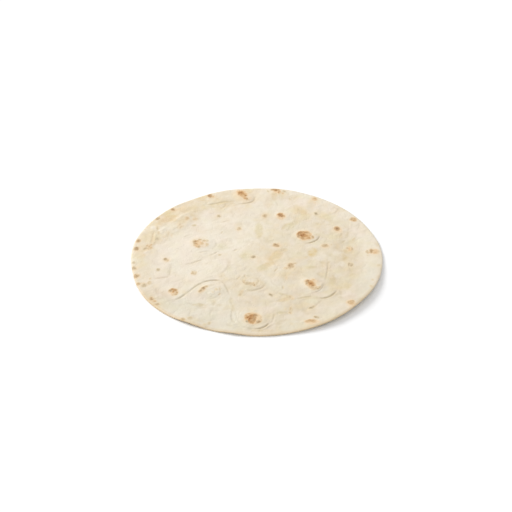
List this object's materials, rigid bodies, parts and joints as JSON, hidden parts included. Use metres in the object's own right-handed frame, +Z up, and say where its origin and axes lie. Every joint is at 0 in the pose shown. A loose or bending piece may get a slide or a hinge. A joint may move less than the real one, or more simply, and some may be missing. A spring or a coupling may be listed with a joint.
{
  "type": "flour tortilla",
  "caption": "Thin round flatbread of soft wheat dough, pale cream with toasted brown spots and low blisters, its rim slightly uneven and lifted in places.",
  "frame": {"origin": "middle of the tortilla's box, on the surface that it lies on", "axes": "+Z up through the thickness, from the underside to the toasted top; -Y towards the viewer in the picture, +X to the viewer's right"},
  "size_m": [0.2502, 0.2498, 0.0061],
  "materials": {
    "dough": "matte baked wheat dough, cream with toasted brown spots"
  },
  "bodies": {
    "root": {"tortilla": "dough"}
  },
  "joints": []
}
